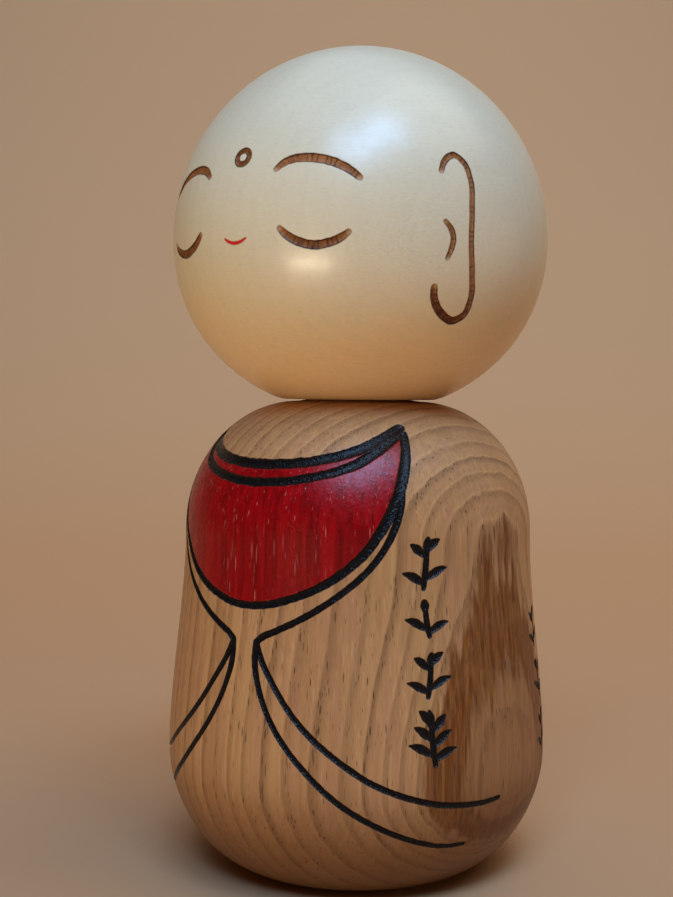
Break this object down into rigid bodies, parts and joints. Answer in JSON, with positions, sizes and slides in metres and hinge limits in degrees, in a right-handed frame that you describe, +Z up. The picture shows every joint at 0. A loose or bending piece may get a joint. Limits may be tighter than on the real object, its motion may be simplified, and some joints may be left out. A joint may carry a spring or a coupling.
{
  "type": "kokeshi doll",
  "caption": "Turned wooden kokeshi doll: ball head with closed eyes and long ears, swivelling on a peg in a barrel body with a painted bib and robe lines.",
  "frame": {"origin": "centre of the flat base that the doll stands on", "axes": "+Z up along the turning axis, the doll's front faces -Y, +X towards the doll's own left side"},
  "size_m": [0.0594, 0.0594, 0.1274],
  "materials": {
    "turned_wood": "clear satin varnish on ring-porous wood, open pores",
    "lacquered_wood": "satin lacquer on pale close-grained wood, burnt engraved lines",
    "peg_wood": "bare, sanded"
  },
  "bodies": {
    "torso": {"body": "turned_wood", "neck_peg": "peg_wood"},
    "head": {"head": "lacquered_wood"}
  },
  "joints": [
    {"name": "neck_swivel", "type": "hinge", "parent": "torso", "child": "head", "pos_m": [0, 0, 0.0727], "axis": [0, 0, 1], "continuous": true}
  ]
}
